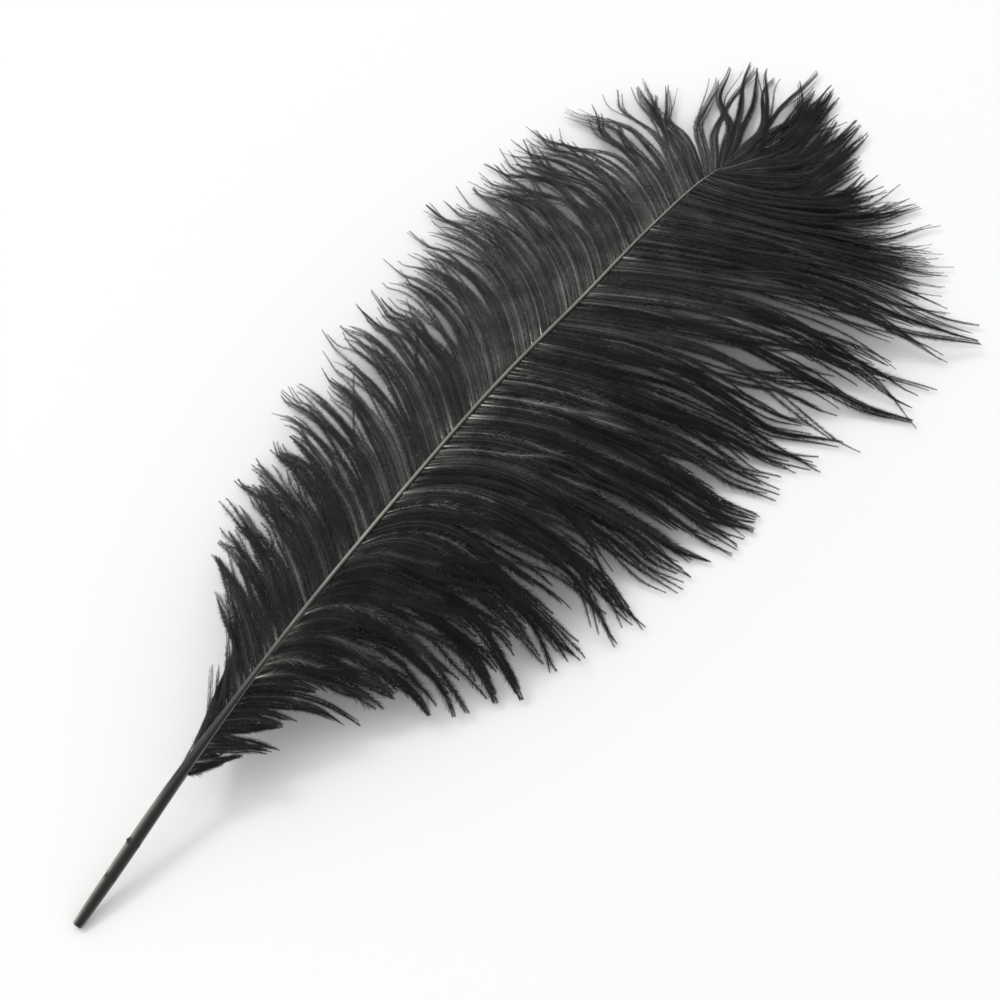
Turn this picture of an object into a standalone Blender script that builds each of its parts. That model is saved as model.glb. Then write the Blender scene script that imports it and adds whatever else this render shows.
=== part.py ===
"""An ostrich wing plume lying on a flat surface. Blender 4.5, metres, +Z up.

The shaft runs along +Y from its cut end and arches over the surface. The barbs leave it to the
right (+X) and to the left (-X), droop, and rest on the surface. Each group of barbs between two
partings is one closed shell, which ends where the tips of its barbs end. The plume touches the
surface with the cut end of its shaft and with the tips of its barbs.
"""

from collections import namedtuple
from math import cos, pi, radians, sin

import bmesh
import bpy
import numpy as np

COLLECTION = "ostrich_feather"

# Shaft, its centre line in the plane x = 0, as (y, z) from the cut end to the tip.
ARCH = (
    (0.000, 0.00165),
    (0.060, 0.0208),
    (0.120, 0.0360),
    (0.180, 0.0435),
    (0.235, 0.0445),
    (0.290, 0.0380),
    (0.340, 0.0285),
    (0.372, 0.0200),
    (0.392, 0.0110),
)

# Shaft, its cross-section. A station is a distance along the shaft from its cut end. Squareness 2
# is an ellipse and a higher one a rounded box. The groove is how far the underside is drawn in.
Section = namedtuple("Section", "station width depth squareness groove")
SECTIONS = (
    Section(0.000, 0.0034, 0.0034, 2.0, 0.0),
    Section(0.008, 0.0040, 0.0040, 2.0, 0.0),
    Section(0.020, 0.0045, 0.0045, 2.0, 0.0),
    Section(0.045, 0.0040, 0.0041, 2.0, 0.0),
    Section(0.065, 0.0034, 0.0036, 2.3, 0.1),
    Section(0.085, 0.0025, 0.0030, 2.7, 0.3),
    Section(0.130, 0.0018, 0.0025, 3.0, 0.4),
    Section(0.200, 0.0016, 0.0022, 3.0, 0.4),
    Section(0.270, 0.0016, 0.0020, 3.0, 0.4),
    Section(0.340, 0.0013, 0.0015, 3.0, 0.3),
    Section(0.380, 0.0009, 0.0010, 2.5, 0.1),
    Section(0.4014, 0.0004, 0.0004, 2.0, 0.0),
)
SHAFT_RINGS = 34
SHAFT_SIDES = 16

# Barbs: the one that leaves the shaft at each station. Its plan angle is measured from +Y
# towards its own side and its pitch from level, in degrees, at its root and at its tip.
Barb = namedtuple("Barb", "station length plan_root plan_tip pitch_root pitch_tip")
RIGHT_BARBS = (
    Barb(0.060, 0.014, 60, 10, -4, -34),
    Barb(0.085, 0.033, 44, 55, -2, -45),
    Barb(0.110, 0.061, 28, 112, 1, -48),
    Barb(0.150, 0.094, 24, 139, 1, -47),
    Barb(0.200, 0.112, 41, 97, -9, -42),
    Barb(0.250, 0.115, 52, 77, -17, -32),
    Barb(0.300, 0.137, 51, 75, -9, -22),
    Barb(0.350, 0.120, 59, 68, -9, -19),
    Barb(0.395, 0.070, 45, -3, -16, -18),
)
LEFT_BARBS = (
    Barb(0.060, 0.025, 29, 31, -3, -34),
    Barb(0.100, 0.058, 47, 58, -4, -43),
    Barb(0.150, 0.088, 49, 70, -6, -48),
    Barb(0.200, 0.099, 47, 70, -6, -53),
    Barb(0.250, 0.105, 41, 79, -4, -51),
    Barb(0.300, 0.093, 41, 85, -4, -48),
    Barb(0.350, 0.082, 52, 87, -1, -43),
    Barb(0.380, 0.066, 51, 42, -2, -41),
)

# Tip strands, from the right crown round the end of the shaft to the left crown. Across is the
# root's distance to the right of the centre line, and plan angles are towards the right.
Strand = namedtuple("Strand", "across station length plan_root plan_tip pitch_root pitch_tip")
TIP_STRANDS = (
    Strand(0.0012, 0.3960, 0.068, 42, -6, -15, -19),
    Strand(0.0006, 0.4024, 0.063, 16, -14, -12, -16),
    Strand(-0.0006, 0.4024, 0.060, -18, -28, -10, -18),
    Strand(-0.0014, 0.3820, 0.064, -49, -42, -3, -40),
)
TIP_LOCKS = 5

# Groups of barbs, by the stations where their locks part. A lock is a bunch with one pointed end.
RIGHT_GROUPS = {
    "basal_down_right": (0.060, 0.068, 0.076, 0.086, 0.098),
    "right_vane_lower": (0.098, 0.110, 0.124, 0.138, 0.152, 0.165),
    "right_vane_middle": (0.165, 0.180, 0.196, 0.212, 0.232, 0.255),
    "right_vane_upper": (0.255, 0.272, 0.288, 0.304, 0.320, 0.345),
    "right_crown": (0.345, 0.357, 0.368, 0.378, 0.395),
}
LEFT_GROUPS = {
    "left_vane_lower": (0.060, 0.078, 0.094, 0.110, 0.126, 0.142, 0.158),
    "left_vane_middle": (0.158, 0.176, 0.192, 0.207, 0.220),
    "left_vane_upper": (0.220, 0.240, 0.260, 0.280, 0.300),
    "left_crown": (0.300, 0.318, 0.335, 0.350, 0.365, 0.380),
}
COLUMNS_PER_LOCK = 4
ROWS = 10
LOCK_NOTCH = 0.10

VANE_THICKNESS = 0.0016
SHAFT_GAP = 0.0005
PARTING_GAP = 0.0009

DYED_BARBS = (0.018, 0.019, 0.021)
DYED_SHAFT = (0.115, 0.102, 0.088)
BARBS_ROUGHNESS = 0.62
SHAFT_ROUGHNESS = 0.38


def smooth_value(keys, values, at):
    """The value at one place of a smooth curve through the values at the keys."""
    keys = np.asarray(keys, float)
    values = np.asarray(values, float)
    slopes = np.gradient(values, keys, axis=0)
    left = int(np.clip(np.searchsorted(keys, at) - 1, 0, len(keys) - 2))
    span = keys[left + 1] - keys[left]
    t = (at - keys[left]) / span
    start = (1 + 2 * t) * (1 - t) ** 2 * values[left] + t * (1 - t) ** 2 * span * slopes[left]
    end = t * t * (3 - 2 * t) * values[left + 1] + t * t * (t - 1) * span * slopes[left + 1]
    return start + end


def row_at(rows, key_field, at):
    """The row of a table at one place between its rows, as a row of the same kind."""
    keys = [getattr(row, key_field) for row in rows]
    return type(rows[0])(*smooth_value(keys, rows, at))


def arch_stations():
    """The distance along the shaft of each point of its arch."""
    steps = np.linalg.norm(np.diff(ARCH, axis=0), axis=1)
    return np.concatenate([[0.0], np.cumsum(steps)])


def shaft_point(station):
    """The shaft's centre line, carried on straight past its tip."""
    keys = arch_stations()
    inside = min(station, keys[-1])
    y, z = smooth_value(keys, ARCH, inside)
    return np.array([0.0, y, z]) + (station - inside) * shaft_direction(inside)


def shaft_direction(station):
    """The unit vector along the shaft, towards its tip."""
    keys = arch_stations()
    step = 0.0005
    place = float(np.clip(station, step, keys[-1] - step))
    along = smooth_value(keys, ARCH, place + step) - smooth_value(keys, ARCH, place - step)
    return np.array([0.0, *(along / np.linalg.norm(along))])


def barb_point(root, barb, side, fraction):
    """The point at a fraction of the length of a barb that leaves root. It lies down on the
    surface where it would go below it."""
    pieces = 24
    point = np.array(root)
    for i in range(pieces):
        bend = (i + 0.5) / pieces * fraction
        plan = radians(barb.plan_root + (barb.plan_tip - barb.plan_root) * bend)
        pitch = radians(barb.pitch_root + (barb.pitch_tip - barb.pitch_root) * bend)
        way = np.array([side * sin(plan) * cos(pitch), cos(plan) * cos(pitch), sin(pitch)])
        point += way * barb.length * fraction / pieces
    point[2] = max(point[2], VANE_THICKNESS / 2)
    return point


def lock_reach(lock_fraction):
    """How far the barbs of a lock reach: all the way in its middle, and less at its sides."""
    return 1 - LOCK_NOTCH * abs(2 * lock_fraction - 1) ** 1.5


def add_object(name, bm, colour, roughness):
    """A named object with a material of its own."""
    mesh = bpy.data.meshes.new(name)
    bm.to_mesh(mesh)
    bm.free()
    for face in mesh.polygons:
        face.use_smooth = True
    material = bpy.data.materials.new(name)
    material.use_nodes = True
    shader = material.node_tree.nodes["Principled BSDF"]
    shader.inputs["Base Color"].default_value = (*colour, 1)
    shader.inputs["Roughness"].default_value = roughness
    shader.inputs["Metallic"].default_value = 0
    mesh.materials.append(material)
    obj = bpy.data.objects.new(name, mesh)
    bpy.data.collections[COLLECTION].objects.link(obj)
    return obj


def section_corner(section, angle):
    """One corner of a cross-section, as (across, up) from the centre line."""
    power = 2 / section.squareness
    across = section.width / 2 * np.sign(cos(angle)) * abs(cos(angle)) ** power
    up = section.depth / 2 * np.sign(sin(angle)) * abs(sin(angle)) ** power
    under = max(0.0, -sin(angle)) ** 8
    return across, up * (1 - section.groove * under)


def build_shaft():
    """The quill and the rachis, grown as one: a loft from a round section to a grooved box."""
    bm = bmesh.new()
    rings = []
    for i in range(SHAFT_RINGS):
        station = SECTIONS[-1].station * i / (SHAFT_RINGS - 1)
        section = row_at(SECTIONS, "station", station)
        centre = shaft_point(station)
        along = shaft_direction(station)
        upward = np.array([0.0, -along[2], along[1]])
        ring = []
        for k in range(SHAFT_SIDES):
            across, up = section_corner(section, 2 * pi * k / SHAFT_SIDES)
            ring.append(bm.verts.new(centre + upward * up + np.array([across, 0.0, 0.0])))
        rings.append(ring)
    for lower, upper in zip(rings, rings[1:]):
        for k in range(SHAFT_SIDES):
            following = (k + 1) % SHAFT_SIDES
            bm.faces.new((lower[k], lower[following], upper[following], upper[k]))
    bm.faces.new(rings[0])
    bm.faces.new(reversed(rings[-1]))
    bmesh.ops.recalc_face_normals(bm, faces=bm.faces)
    return add_object("shaft", bm, DYED_SHAFT, SHAFT_ROUGHNESS)


def add_shell(name, columns, place):
    """A grid laid through place(column, fraction of the length) and thickened to a closed shell."""
    bm = bmesh.new()
    bmesh.ops.create_grid(bm, x_segments=columns, y_segments=ROWS, size=1)
    for vertex in bm.verts:
        column = round((vertex.co.x + 1) / 2 * columns)
        vertex.co = place(column, (vertex.co.y + 1) / 2)
    shell = add_object(name, bm, DYED_BARBS, BARBS_ROUGHNESS)
    thicken = shell.modifiers.new("Thickness", "SOLIDIFY")
    thicken.thickness = VANE_THICKNESS
    thicken.offset = 0
    return shell


def build_group(name, side, barbs, partings):
    """The barbs of one side of the shaft between two partings of the vane."""
    locks = len(partings) - 1
    first = partings[0] + PARTING_GAP / 2
    last = partings[-1] - PARTING_GAP / 2

    def place(column, fraction):
        lock = min(column // COLUMNS_PER_LOCK, locks - 1)
        within = column / COLUMNS_PER_LOCK - lock
        station = partings[lock] + (partings[lock + 1] - partings[lock]) * within
        station = min(max(station, first), last)
        barb = row_at(barbs, "station", station)
        root = shaft_point(station)
        root[0] = side * (row_at(SECTIONS, "station", station).width / 2 + SHAFT_GAP)
        return barb_point(root, barb, side, fraction * lock_reach(within))

    return add_shell(name, locks * COLUMNS_PER_LOCK, place)


def build_tip_strands():
    """The loose strands that fan out from the end of the shaft."""
    columns = TIP_LOCKS * COLUMNS_PER_LOCK
    keys = np.linspace(0, 1, len(TIP_STRANDS))

    def place(column, fraction):
        strand = Strand(*smooth_value(keys, TIP_STRANDS, column / columns))
        root = shaft_point(strand.station)
        root[0] = strand.across
        within = column / COLUMNS_PER_LOCK % 1
        return barb_point(root, strand, 1, fraction * lock_reach(within))

    return add_shell("tip_strands", columns, place)


def centre_over_origin(pieces):
    """Parents the pieces to an empty that puts the middle of the whole plume over the origin."""
    bpy.context.view_layer.update()
    graph = bpy.context.evaluated_depsgraph_get()
    corners = []
    for piece in pieces:
        mesh = piece.evaluated_get(graph).to_mesh()
        corners.extend(vertex.co.copy() for vertex in mesh.vertices)
        piece.evaluated_get(graph).to_mesh_clear()
    corners = np.array(corners)
    middle = (corners.min(axis=0) + corners.max(axis=0)) / 2
    plume = bpy.data.objects.new("plume", None)
    bpy.data.collections[COLLECTION].objects.link(plume)
    plume.location = (-middle[0], -middle[1], 0)
    for piece in pieces:
        piece.parent = plume


def main():
    for obj in list(bpy.data.objects):
        bpy.data.objects.remove(obj, do_unlink=True)
    bpy.context.scene.collection.children.link(bpy.data.collections.new(COLLECTION))
    pieces = [build_shaft(), build_tip_strands()]
    for name, partings in RIGHT_GROUPS.items():
        pieces.append(build_group(name, 1, RIGHT_BARBS, partings))
    for name, partings in LEFT_GROUPS.items():
        pieces.append(build_group(name, -1, LEFT_BARBS, partings))
    centre_over_origin(pieces)


main()
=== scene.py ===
"""Looks of an ostrich wing plume, dyed black and lying on a pale floor.

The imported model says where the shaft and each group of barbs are. Here every shell of barbs is
replaced by its barbs. Their centre lines are worked out along the shaft and gathered into locks,
and Geometry Nodes grow the ramus and the barbules of each barb along them. The shaft is lofted
again with its ridge, groove, nick and spur.
"""

import logging
from dataclasses import dataclass, replace
from enum import Enum

import bpy
import numpy as np
from mathutils import Matrix, Vector


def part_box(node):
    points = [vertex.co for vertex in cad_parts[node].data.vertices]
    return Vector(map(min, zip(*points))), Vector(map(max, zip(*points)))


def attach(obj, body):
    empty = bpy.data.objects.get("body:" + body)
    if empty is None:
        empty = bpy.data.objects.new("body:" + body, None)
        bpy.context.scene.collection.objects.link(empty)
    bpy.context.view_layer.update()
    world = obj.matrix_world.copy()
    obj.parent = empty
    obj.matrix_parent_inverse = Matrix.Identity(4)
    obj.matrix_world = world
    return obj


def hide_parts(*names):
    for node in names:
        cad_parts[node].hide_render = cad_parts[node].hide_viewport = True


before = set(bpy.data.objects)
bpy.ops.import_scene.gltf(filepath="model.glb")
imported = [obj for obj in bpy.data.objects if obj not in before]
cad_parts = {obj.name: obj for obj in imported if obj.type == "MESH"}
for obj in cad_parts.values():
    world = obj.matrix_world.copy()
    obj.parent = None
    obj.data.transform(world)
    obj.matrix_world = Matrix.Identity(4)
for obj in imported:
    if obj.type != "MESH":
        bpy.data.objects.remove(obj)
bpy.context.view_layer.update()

LOG = logging.getLogger("plume")
BODY = "root"
FLOOR_CLEARANCE = 0.0025
TINY = 1e-9


class Slot(Enum):
    """The record's material slots."""

    SHAFT = "shaft"
    BARBS = "barbs"


def smooth_rows(keys: np.ndarray, rows: np.ndarray, at: np.ndarray) -> np.ndarray:
    """Reads a smooth curve through rows of values.

    Args:
        keys: The place of each row, rising.
        rows: One row of values for each key.
        at: The places to read.

    Returns:
        One row of values for each place.
    """
    slopes = np.gradient(rows, keys, axis=0)
    left = np.clip(np.searchsorted(keys, at) - 1, 0, len(keys) - 2)
    span = (keys[left + 1] - keys[left])[:, None]
    t = (at - keys[left])[:, None] / span
    start = (1 + 2 * t) * (1 - t) ** 2 * rows[left] + t * (1 - t) ** 2 * span * slopes[left]
    end = t * t * (3 - 2 * t) * rows[left + 1] + t * t * (t - 1) * span * slopes[left + 1]
    return start + end


def rise(values: np.ndarray, start: float, end: float) -> np.ndarray:
    """Eases from 0 at start to 1 at end."""
    t = np.clip((values - start) / (end - start), 0, 1)
    return t * t * (3 - 2 * t)


def unit(vectors: np.ndarray) -> np.ndarray:
    """Vectors of length 1 along the given ones."""
    return vectors / np.maximum(np.linalg.norm(vectors, axis=-1, keepdims=True), TINY)


def into_scene(name: str, data: bpy.types.ID) -> bpy.types.Object:
    """Puts new data into the scene.

    Args:
        name: The object's name.
        data: Its mesh, lamp or camera.

    Returns:
        The object, at the origin.
    """
    obj = bpy.data.objects.new(name, data)
    bpy.context.scene.collection.objects.link(obj)
    return obj


def store(mesh: bpy.types.Mesh, label: str, values: np.ndarray) -> None:
    """Stores a number for each point of a mesh."""
    layer = mesh.attributes.new(label, "FLOAT", "POINT")
    layer.data.foreach_set("value", values.astype(np.float32).ravel())


@dataclass(frozen=True)
class Section:
    """The shaft's cross-section at a station.

    Args:
        station: Its distance along the shaft from the cut end.
        width: Its size across the shaft.
        depth: Its size up and down.
        squareness: 2 for an ellipse, and more for a rounded box.
        groove: How far the underside is drawn in, as a share of half the depth.
    """

    station: float
    width: float
    depth: float
    squareness: float
    groove: float


SECTIONS = (
    Section(0.000, 0.0034, 0.0034, 2.0, 0.0),
    Section(0.008, 0.0040, 0.0040, 2.0, 0.0),
    Section(0.020, 0.0045, 0.0045, 2.0, 0.0),
    Section(0.045, 0.0045, 0.0042, 2.0, 0.0),
    Section(0.065, 0.0037, 0.0037, 2.2, 0.1),
    Section(0.085, 0.0025, 0.0030, 2.7, 0.3),
    Section(0.130, 0.0018, 0.0025, 3.0, 0.4),
    Section(0.200, 0.0016, 0.0022, 3.0, 0.4),
    Section(0.270, 0.0016, 0.0020, 3.0, 0.4),
    Section(0.340, 0.0013, 0.0015, 3.0, 0.3),
    Section(0.380, 0.0009, 0.0010, 2.5, 0.1),
    Section(0.4014, 0.0004, 0.0004, 2.0, 0.0),
)


@dataclass(frozen=True)
class ShaftLine:
    """The shaft's centre line and cross-sections, which every barb grows from.

    Args:
        arch: Its (y, z) from the cut end to the tip.
        bow: (station, x), how far it swings out to the right of a straight line.
        sections: Its cross-sections.
    """

    arch: tuple = (
        (0.000, 0.00165),
        (0.060, 0.0208),
        (0.120, 0.0360),
        (0.180, 0.0435),
        (0.235, 0.0445),
        (0.290, 0.0380),
        (0.340, 0.0285),
        (0.372, 0.0200),
        (0.392, 0.0110),
    )
    bow: tuple = (
        (0.00, -0.0003),
        (0.03, -0.0003),
        (0.05, -0.0004),
        (0.07, -0.0002),
        (0.09, 0.0002),
        (0.12, 0.0009),
        (0.18, 0.0022),
        (0.24, 0.0028),
        (0.29, 0.0031),
        (0.34, 0.0014),
        (0.40, 0.0003),
    )
    sections: tuple = SECTIONS

    def keys(self) -> np.ndarray:
        """The distance along the shaft of each point of the arch."""
        steps = np.linalg.norm(np.diff(self.arch, axis=0), axis=1)
        return np.concatenate([[0.0], np.cumsum(steps)])

    def origin(self) -> np.ndarray:
        """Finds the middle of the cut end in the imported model.

        Returns:
            The place below it on the surface.
        """
        low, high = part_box("shaft")
        slope = self.along(np.array([0.0]))[0]
        overhang = self.sections[0].depth / 2 * slope[2]
        return np.array([(low.x + high.x) / 2, low.y + overhang, 0.0])

    def along(self, stations: np.ndarray) -> np.ndarray:
        """The shaft's direction at each station.

        Args:
            stations: Distances from the cut end.

        Returns:
            Unit vectors towards the tip.
        """
        keys = self.keys()
        step = 0.0005
        place = np.clip(stations, step, keys[-1] - step)
        arch = np.asarray(self.arch)
        ahead = smooth_rows(keys, arch, place + step) - smooth_rows(keys, arch, place - step)
        return unit(np.column_stack([np.zeros(len(ahead)), ahead]))

    def points(self, stations: np.ndarray) -> np.ndarray:
        """Points on the centre line, carried on straight past the tip.

        Args:
            stations: Distances from the cut end.

        Returns:
            One point for each, in the row frame.
        """
        keys = self.keys()
        inside = np.minimum(stations, keys[-1])
        arch = smooth_rows(keys, np.asarray(self.arch), inside)
        bow = np.asarray(self.bow)
        points = np.column_stack([smooth_rows(bow[:, 0], bow[:, 1:], inside), arch])
        return points + (stations - inside)[:, None] * self.along(inside) + self.origin()

    def section_rows(self, stations: np.ndarray) -> np.ndarray:
        """Reads the cross-sections.

        Args:
            stations: Distances from the cut end.

        Returns:
            The width, depth, squareness and groove at each.
        """
        keys = np.array([section.station for section in self.sections])
        rows = np.array([(s.width, s.depth, s.squareness, s.groove) for s in self.sections])
        return smooth_rows(keys, rows, np.minimum(stations, keys[-1]))


@dataclass(frozen=True)
class Barb:
    """The barb that leaves the shaft at a station.

    Args:
        station: Its root's distance along the shaft from the cut end.
        length: Its full length.
        plan_root: Its direction at the root, in degrees from +Y towards its own side.
        plan_tip: Its direction at the tip.
        pitch_root: How it rises from level at the root, in degrees.
        pitch_tip: How it rises at the tip.
        across: How far to the right of the centre line a strand at the shaft's end grows.
    """

    station: float
    length: float
    plan_root: float
    plan_tip: float
    pitch_root: float
    pitch_tip: float
    across: float = 0.0


RIGHT_BARBS = (
    Barb(0.060, 0.014, 46, 28, -4, -34),
    Barb(0.085, 0.033, 44, 55, -2, -45),
    Barb(0.110, 0.061, 28, 112, 1, -48),
    Barb(0.150, 0.095, 24, 134, 1, -47),
    Barb(0.200, 0.112, 41, 97, -9, -42),
    Barb(0.250, 0.115, 52, 77, -17, -32),
    Barb(0.300, 0.137, 51, 75, -9, -22),
    Barb(0.350, 0.120, 59, 68, -9, -19),
    Barb(0.395, 0.073, 42, -8, -14, -16),
    Barb(0.402, 0.072, 14, -20, -11, -14),
)
LEFT_BARBS = (
    Barb(0.060, 0.028, 16, 22, -3, -30),
    Barb(0.100, 0.061, 47, 58, -4, -43),
    Barb(0.150, 0.096, 49, 70, -6, -47),
    Barb(0.200, 0.111, 47, 70, -6, -50),
    Barb(0.250, 0.116, 41, 79, -4, -48),
    Barb(0.300, 0.106, 41, 85, -4, -44),
    Barb(0.350, 0.093, 50, 80, -1, -40),
    Barb(0.380, 0.078, 49, 42, -2, -38),
)
TIP_STRANDS = (
    Barb(0.3960, 0.072, 36, -14, -14, -17, 0.0012),
    Barb(0.4024, 0.070, 12, -20, -11, -14, 0.0006),
    Barb(0.4024, 0.068, -20, -32, -9, -16, -0.0006),
    Barb(0.3820, 0.074, -49, -44, -3, -37, -0.0014),
)


@dataclass(frozen=True)
class BarbField:
    """A smooth run of barbs, from which any barb between its rows can be read.

    A vane's barbs grow at ROOT_SHARE of the shaft's half width. The strands at its end are set
    back along the shaft by SET_BACK, and drawn in to DRAWN_IN of their distance across.

    Args:
        shaft: The line that the barbs grow from.
        keys: The place of each row along the run, rising.
        rows: Station, across, length, plan and pitch angles of each row.
        steps: How many straight pieces a barb's centre line has.
    """

    shaft: ShaftLine
    keys: np.ndarray
    rows: np.ndarray
    steps: int = 22

    ROOT_SHARE = 0.7
    SET_BACK = 0.004
    DRAWN_IN = 0.25

    @staticmethod
    def _row(barb: Barb, side: int, station: float, across: float) -> tuple:
        """A barb's row, with its root at the given place."""
        plan = (side * barb.plan_root, side * barb.plan_tip)
        return (station, across, barb.length, *plan, barb.pitch_root, barb.pitch_tip)

    @classmethod
    def vane(cls, shaft: ShaftLine, side: int, barbs: tuple) -> "BarbField":
        """The barbs of one side of the shaft.

        Args:
            shaft: The line that they grow from.
            side: 1 for the right and -1 for the left.
            barbs: Rows of the table of that side.

        Returns:
            The field, placed by station.
        """
        stations = np.array([barb.station for barb in barbs])
        half_widths = shaft.section_rows(stations)[:, 0] / 2
        rows = [
            cls._row(barb, side, barb.station, side * half * cls.ROOT_SHARE)
            for barb, half in zip(barbs, half_widths)
        ]
        return cls(shaft, stations, np.array(rows))

    @classmethod
    def fan(cls, shaft: ShaftLine, strands: tuple) -> "BarbField":
        """The strands round the end of the shaft.

        Args:
            shaft: The line that they grow from.
            strands: Rows of their table.

        Returns:
            The field, placed by a share from 0 to 1.
        """
        rows = [
            cls._row(strand, 1, strand.station - cls.SET_BACK, strand.across * cls.DRAWN_IN)
            for strand in strands
        ]
        return cls(shaft, np.linspace(0, 1, len(strands)), np.array(rows))

    def lengths(self, at: np.ndarray) -> np.ndarray:
        """The full lengths of the barbs at these places, as a column."""
        return smooth_rows(self.keys, self.rows, at)[:, 2:3]

    def paths(self, at: np.ndarray, reach: np.ndarray) -> np.ndarray:
        """The centre lines of the barbs at these places.

        Args:
            at: Places along the run.
            reach: The share of its full length that each barb has.

        Returns:
            Points by barb and step, in the row frame.
        """
        station, across, length, plan_root, plan_tip, pitch_root, pitch_tip = smooth_rows(
            self.keys, self.rows, at
        ).T
        middles = (np.arange(self.steps) + 0.5) / self.steps
        bend = reach[:, None] * middles
        plan = np.radians(plan_root[:, None] + (plan_tip - plan_root)[:, None] * bend)
        pitch = np.radians(pitch_root[:, None] + (pitch_tip - pitch_root)[:, None] * bend)
        ways = np.stack(
            [np.sin(plan) * np.cos(pitch), np.cos(plan) * np.cos(pitch), np.sin(pitch)], axis=-1
        )
        stride = (length * reach / self.steps)[:, None, None]
        root = self.shaft.points(station)
        root[:, 0] += across
        steps = np.cumsum(ways * stride, axis=1)
        return root[:, None, :] + np.concatenate([np.zeros_like(steps[:, :1]), steps], axis=1)


@dataclass
class Guides:
    """Centre lines of barbs, with what the growth and the finish need at each point.

    Args:
        points: Positions by barb and step.
        ups: The vane's upward direction there.
        thickness: The radius of the ramus.
        fluff: The length of the barbules.
        pale: How much paler each point is, from 0 to 1: dye rubbed thin near the shaft with a
            painted sheen, and painted glints along some rami; above 1 for bright painted glints at
            some roots.
        shade: A tone of each barb's own, from 0 to 1.
    """

    points: np.ndarray
    ups: np.ndarray
    thickness: np.ndarray
    fluff: np.ndarray
    pale: np.ndarray
    shade: np.ndarray

    def as_object(self, name: str) -> bpy.types.Object:
        """Makes a wire mesh with one chain of edges for each barb.

        Args:
            name: The object's name.

        Returns:
            The object, with the guides' values as attributes.
        """
        barbs, steps, _ = self.points.shape
        index = np.arange(barbs * steps).reshape(barbs, steps)
        edges = np.stack([index[:, :-1], index[:, 1:]], axis=-1).reshape(-1, 2)
        mesh = bpy.data.meshes.new(name)
        mesh.vertices.add(barbs * steps)
        mesh.vertices.foreach_set("co", self.points.astype(np.float32).ravel())
        mesh.edges.add(len(edges))
        mesh.edges.foreach_set("vertices", edges.astype(np.int32).ravel())
        for label in ("thickness", "fluff", "pale", "shade"):
            store(mesh, label, getattr(self, label))
        layer = mesh.attributes.new("vane_up", "FLOAT_VECTOR", "POINT")
        layer.data.foreach_set("vector", self.ups.astype(np.float32).ravel())
        mesh.update()
        return into_scene(name, mesh)


class NodeTree:
    """Adds nodes to a tree, with their values and links in one call."""

    def __init__(self, tree: bpy.types.NodeTree) -> None:
        """Keeps the tree that the nodes go into."""
        self.tree = tree

    def add(self, kind: str, settings: dict | None = None, **inputs: object) -> bpy.types.Node:
        """Adds a node.

        Args:
            kind: The node's type.
            settings: Its own options.
            **inputs: A value or an output socket for each input, with _ for a space.

        Returns:
            The node.
        """
        node = self.tree.nodes.new(kind)
        for option, value in (settings or {}).items():
            setattr(node, option, value)
        for label, value in inputs.items():
            self.feed(node.inputs[label.replace("_", " ")], value)
        return node

    def feed(self, socket: bpy.types.NodeSocket, value: object) -> None:
        """Links an output socket to an input, or sets the input's value.

        Args:
            socket: The input.
            value: The output socket or the value.
        """
        if isinstance(value, bpy.types.NodeSocket):
            self.tree.links.new(value, socket)
        else:
            socket.default_value = value

    def maths(self, operation: str, first: object, second: object = 0.0) -> bpy.types.NodeSocket:
        """Adds a sum with numbers.

        Args:
            operation: The sum.
            first: Its first value or socket.
            second: Its second.

        Returns:
            The result.
        """
        node = self.tree.nodes.new("ShaderNodeMath")
        node.operation = operation
        self.feed(node.inputs[0], first)
        self.feed(node.inputs[1], second)
        return node.outputs[0]

    def vector(self, operation: str, first: object, second: object) -> bpy.types.NodeSocket:
        """Adds a sum with vectors.

        Args:
            operation: The sum.
            first: Its first value or socket.
            second: Its second, which is a number for SCALE.

        Returns:
            The result.
        """
        node = self.tree.nodes.new("ShaderNodeVectorMath")
        node.operation = operation
        self.feed(node.inputs[0], first)
        self.feed(node.inputs["Scale"] if operation == "SCALE" else node.inputs[1], second)
        return node.outputs[0]

    def between(self, share: object, ends: tuple[float, float]) -> bpy.types.NodeSocket:
        """The value at a share of the way between two."""
        low, high = ends
        return self.add("ShaderNodeMapRange", Value=share, To_Min=low, To_Max=high).outputs[0]


@dataclass(frozen=True)
class Growth:
    """How the barbules grow along a group's barbs.

    Args:
        spacing: The distance from one barbule to the next, on alternate sides.
        width: The width of a barbule at its root.
        lean: The angle between a barbule and its ramus, in degrees.
        seed: Fixes the random turns and lengths.
    """

    spacing: float = 0.00012
    width: float = 0.00024
    lean: float = 32.0
    seed: int = 0


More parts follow.
